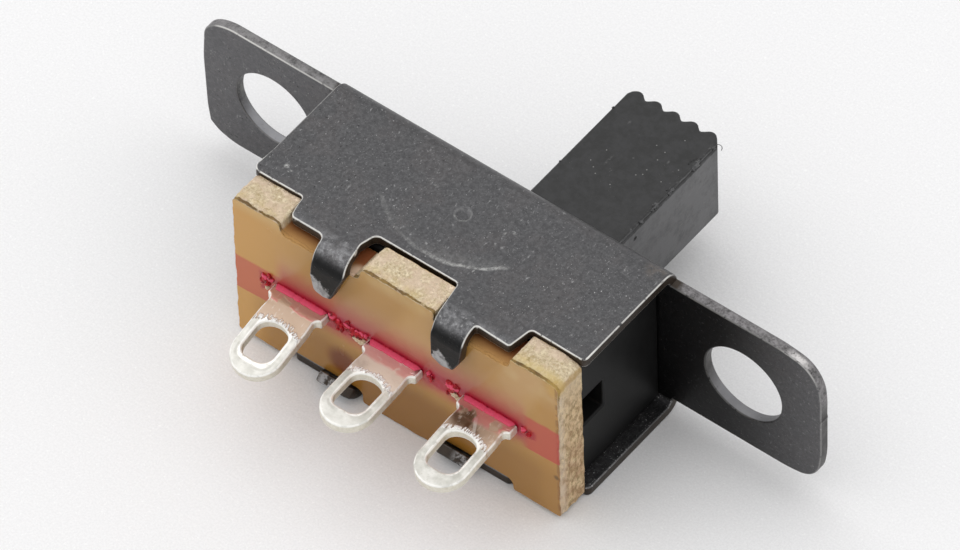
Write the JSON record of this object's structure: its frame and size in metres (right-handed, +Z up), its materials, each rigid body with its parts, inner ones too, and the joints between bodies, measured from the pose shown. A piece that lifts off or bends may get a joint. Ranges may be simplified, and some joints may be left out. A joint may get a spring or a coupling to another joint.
{
  "type": "slide switch",
  "caption": "Small panel slide switch: folded steel frame with screw ears, phenolic base with solder lugs, and a ribbed sliding knob.",
  "frame": {"origin": "midway between the two screw holes, on the front face of the plate that the ears belong to", "axes": "+X along the slide direction, towards the ear the knob is stored next to; +Y out of the panel along the knob; +Z up, across the body, away from the side it lies on"},
  "size_m": [0.0197, 0.0124, 0.0054],
  "materials": {
    "blackened_steel": "satin",
    "phenolic_board": "satin",
    "silvered_brass": "satin",
    "black_moulding": "satin",
    "red_lacquer": "gloss",
    "spring_bronze": "satin"
  },
  "bodies": {
    "switch_body": {"frame": "blackened_steel", "base_board": "phenolic_board", "terminal_left": "silvered_brass", "terminal_middle": "silvered_brass", "terminal_right": "silvered_brass"},
    "slider_body": {"slider": "black_moulding", "contact_clip": "spring_bronze"}
  },
  "joints": [
    {"name": "knob_slide", "type": "slide", "parent": "switch_body", "child": "slider_body", "axis": [1, 0, 0], "range_m": [-0.003, 0]}
  ]
}
